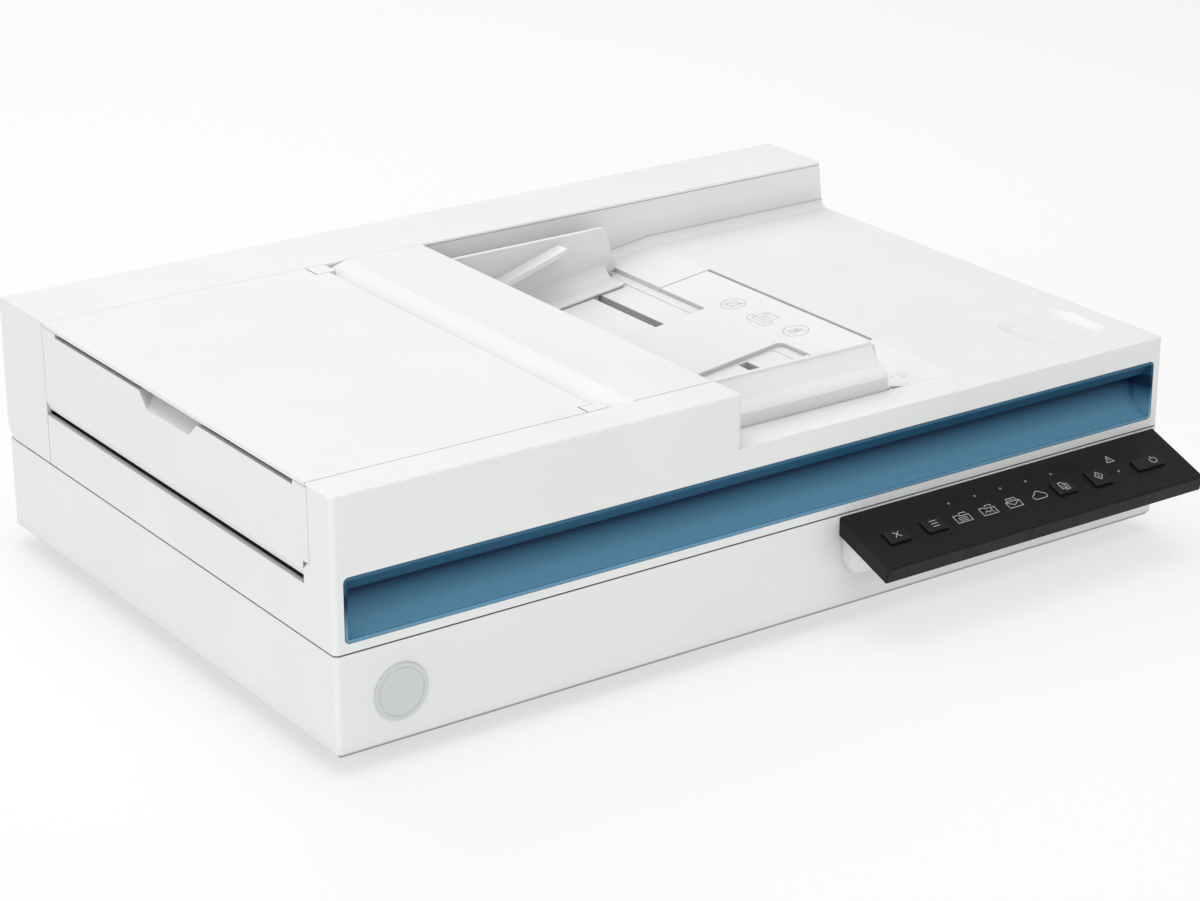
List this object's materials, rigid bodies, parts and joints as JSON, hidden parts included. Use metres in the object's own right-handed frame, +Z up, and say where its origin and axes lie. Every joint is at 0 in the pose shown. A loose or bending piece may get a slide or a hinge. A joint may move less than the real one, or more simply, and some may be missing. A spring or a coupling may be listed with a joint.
{
  "type": "document scanner",
  "caption": "Flatbed document scanner with a hinged lid that carries a sheet feeder, input tray with sliding paper guides and a sloping button panel.",
  "frame": {"origin": "middle of the whole object's footprint, on the surface it stands on", "axes": "+X to the user's right along the front, +Y to the back, +Z up"},
  "size_m": [0.451, 0.3336, 0.122],
  "materials": {
    "white_shell": "fine moulded texture",
    "blue_grip": "fine moulded texture",
    "panel_black": "pebbled moulded texture",
    "button_black": "satin",
    "badge_satin": "satin metallised",
    "light_window": "clear window",
    "glass": "polished",
    "rubber": "matt",
    "roller_rubber": "ground rubber",
    "belt_rubber": "ribbed",
    "steel": "plated",
    "dark_plastic": "moulded",
    "sensor_black": "moulded",
    "gear_plastic": "natural acetal",
    "foam_white": "smooth film on foam",
    "circuit_board": "solder mask"
  },
  "bodies": {
    "root": {"base_housing": "white_shell", "panel_support": "white_shell", "platen_frame": "white_shell", "platen_glass": "glass", "rubber_feet": "rubber", "housing_screws": "steel", "guide_rod": "steel", "carriage_belt": "belt_rubber", "carriage_motor": "steel", "main_board": "circuit_board", "usb_port": "steel", "power_jack": "dark_plastic", "control_panel_housing": "panel_black", "control_board": "circuit_board", "status_lights": "light_window", "badge": "badge_satin"},
    "carriage": {"scan_carriage": "dark_plastic", "flatbed_image_sensor": "sensor_black", "sensor_leaf_springs": "steel"},
    "motor_pulley": {"motor_pulley": "gear_plastic"},
    "idler_pulley": {"idler_pulley": "gear_plastic"},
    "cancel_button": {"cancel_button": "button_black"},
    "menu_button": {"menu_button": "button_black"},
    "duplex_button": {"duplex_button": "button_black"},
    "scan_button": {"scan_button": "button_black"},
    "power_button": {"power_button": "button_black"},
    "hinge_legs": {"hinge_legs": "dark_plastic"},
    "lid": {"hinge_brackets": "steel", "hinge_pins": "steel", "lid_base": "white_shell", "document_pad": "foam_white", "lid_housing": "white_shell", "grip_recess": "blue_grip", "rear_cover": "white_shell", "exit_panel": "white_shell", "feeder_bridge": "white_shell", "tray_plate": "white_shell", "cover_hinge_pins": "steel", "feeder_frame": "dark_plastic", "upper_paper_guide": "dark_plastic", "gear_side_plate": "steel", "feeder_image_sensors": "sensor_black", "feeder_motor": "steel", "exit_belt": "belt_rubber"},
    "feeder_cover": {"feeder_cover": "white_shell"},
    "front_guide": {"front_guide": "white_shell"},
    "rear_guide": {"rear_guide": "white_shell"},
    "guide_pinion": {"guide_pinion": "gear_plastic"},
    "pick_arm": {"pick_arm": "dark_plastic"},
    "pick_roller": {"pick_roller": "roller_rubber"},
    "feed_roller": {"feed_roller_shaft": "steel", "feed_roller_tyre": "roller_rubber", "feed_gear": "gear_plastic"},
    "separation_roller": {"separation_roller": "roller_rubber"},
    "drive_roller": {"drive_roller": "roller_rubber", "drive_gear": "gear_plastic"},
    "drive_idlers": {"drive_idlers": "gear_plastic"},
    "exit_roller": {"exit_roller": "roller_rubber"},
    "exit_idlers": {"exit_idlers": "gear_plastic"},
    "motor_pinion": {"motor_pinion": "gear_plastic"}
  },
  "joints": [
    {"name": "hinge_lift", "type": "slide", "parent": "root", "child": "hinge_legs", "axis": [0, 0, 1], "range_m": [0, 0.012]},
    {"name": "lid_hinge", "type": "hinge", "parent": "hinge_legs", "child": "lid", "pos_m": [-0.0155, 0.15885, 0.0617], "axis": [-1, 0, 0], "range_deg": [0, 80]},
    {"name": "feeder_cover_hinge", "type": "hinge", "parent": "lid", "child": "feeder_cover", "pos_m": [-0.0831, 0.00485, 0.1192], "axis": [0, 1, 0], "range_deg": [0, 75]},
    {"name": "front_guide_slide", "type": "slide", "parent": "lid", "child": "front_guide", "axis": [0, 1, 0], "range_m": [0, 0.055]},
    {"name": "rear_guide_slide", "type": "slide", "parent": "lid", "child": "rear_guide", "axis": [0, -1, 0], "range_m": [0, 0.055]},
    {"name": "guide_pinion_spin", "type": "hinge", "parent": "lid", "child": "guide_pinion", "pos_m": [0.0585, 0.00485, 0.082], "axis": [0, 0, 1], "range_deg": [0, 395]},
    {"name": "pick_arm_pivot", "type": "hinge", "parent": "lid", "child": "pick_arm", "pos_m": [-0.12113, 0.00485, 0.0882], "axis": [0, -1, 0], "range_deg": [0, 14]},
    {"name": "pick_roller_spin", "type": "hinge", "parent": "pick_arm", "child": "pick_roller", "pos_m": [-0.09316, 0.00485, 0.087], "axis": [0, 1, 0], "continuous": true},
    {"name": "feed_roller_spin", "type": "hinge", "parent": "lid", "child": "feed_roller", "pos_m": [-0.12113, 0.00485, 0.0882], "axis": [0, 1, 0], "continuous": true},
    {"name": "separation_roller_spin", "type": "hinge", "parent": "lid", "child": "separation_roller", "pos_m": [-0.12113, 0.00485, 0.0698], "axis": [0, 1, 0], "continuous": true},
    {"name": "drive_roller_spin", "type": "hinge", "parent": "lid", "child": "drive_roller", "pos_m": [-0.1515, 0.00485, 0.0708], "axis": [0, 1, 0], "continuous": true},
    {"name": "drive_idlers_spin", "type": "hinge", "parent": "lid", "child": "drive_idlers", "pos_m": [-0.1515, 0.00485, 0.0832], "axis": [0, 1, 0], "continuous": true},
    {"name": "exit_roller_spin", "type": "hinge", "parent": "lid", "child": "exit_roller", "pos_m": [-0.2095, 0.00485, 0.0708], "axis": [0, 1, 0], "continuous": true},
    {"name": "exit_idlers_spin", "type": "hinge", "parent": "lid", "child": "exit_idlers", "pos_m": [-0.2095, 0.00485, 0.0827], "axis": [0, 1, 0], "continuous": true},
    {"name": "motor_pinion_spin", "type": "hinge", "parent": "lid", "child": "motor_pinion", "pos_m": [-0.17092, 0.12985, 0.0788], "axis": [0, 1, 0], "continuous": true},
    {"name": "carriage_slide", "type": "slide", "parent": "root", "child": "carriage", "axis": [1, 0, 0], "range_m": [0, 0.295]},
    {"name": "motor_pulley_spin", "type": "hinge", "parent": "root", "child": "motor_pulley", "pos_m": [0.1265, 0.03985, 0.03], "axis": [0, 0, 1], "range_deg": [0, 2460]},
    {"name": "idler_pulley_spin", "type": "hinge", "parent": "root", "child": "idler_pulley", "pos_m": [-0.2145, 0.03985, 0.03], "axis": [0, 0, 1], "range_deg": [0, 2460]},
    {"name": "cancel_button_press", "type": "slide", "parent": "root", "child": "cancel_button", "axis": [0, 0.3508, -0.9364], "range_m": [0, 0.0008], "stiffness_N_per_m": 400, "springref_m": -0.0006},
    {"name": "menu_button_press", "type": "slide", "parent": "root", "child": "menu_button", "axis": [0, 0.3508, -0.9364], "range_m": [0, 0.0008], "stiffness_N_per_m": 400, "springref_m": -0.0006},
    {"name": "duplex_button_press", "type": "slide", "parent": "root", "child": "duplex_button", "axis": [0, 0.3508, -0.9364], "range_m": [0, 0.0008], "stiffness_N_per_m": 400, "springref_m": -0.0006},
    {"name": "scan_button_press", "type": "slide", "parent": "root", "child": "scan_button", "axis": [0, 0.3508, -0.9364], "range_m": [0, 0.0008], "stiffness_N_per_m": 400, "springref_m": -0.0006},
    {"name": "power_button_press", "type": "slide", "parent": "root", "child": "power_button", "axis": [0, 0.3508, -0.9364], "range_m": [0, 0.0008], "stiffness_N_per_m": 400, "springref_m": -0.0006}
  ],
  "couplings": [
    {"joint": "rear_guide_slide", "follows": "front_guide_slide", "ratio": 1},
    {"joint": "guide_pinion_spin", "follows": "front_guide_slide", "rad_per_m": 125},
    {"joint": "drive_roller_spin", "follows": "feed_roller_spin", "ratio": -1.5},
    {"joint": "exit_roller_spin", "follows": "feed_roller_spin", "ratio": -1.5},
    {"joint": "motor_pinion_spin", "follows": "feed_roller_spin", "ratio": 3},
    {"joint": "pick_roller_spin", "follows": "feed_roller_spin", "ratio": 1.1111},
    {"joint": "drive_idlers_spin", "follows": "feed_roller_spin", "ratio": 2.1},
    {"joint": "exit_idlers_spin", "follows": "feed_roller_spin", "ratio": 2.3333},
    {"joint": "motor_pulley_spin", "follows": "carriage_slide", "rad_per_m": 144.93},
    {"joint": "idler_pulley_spin", "follows": "carriage_slide", "rad_per_m": 144.93}
  ]
}
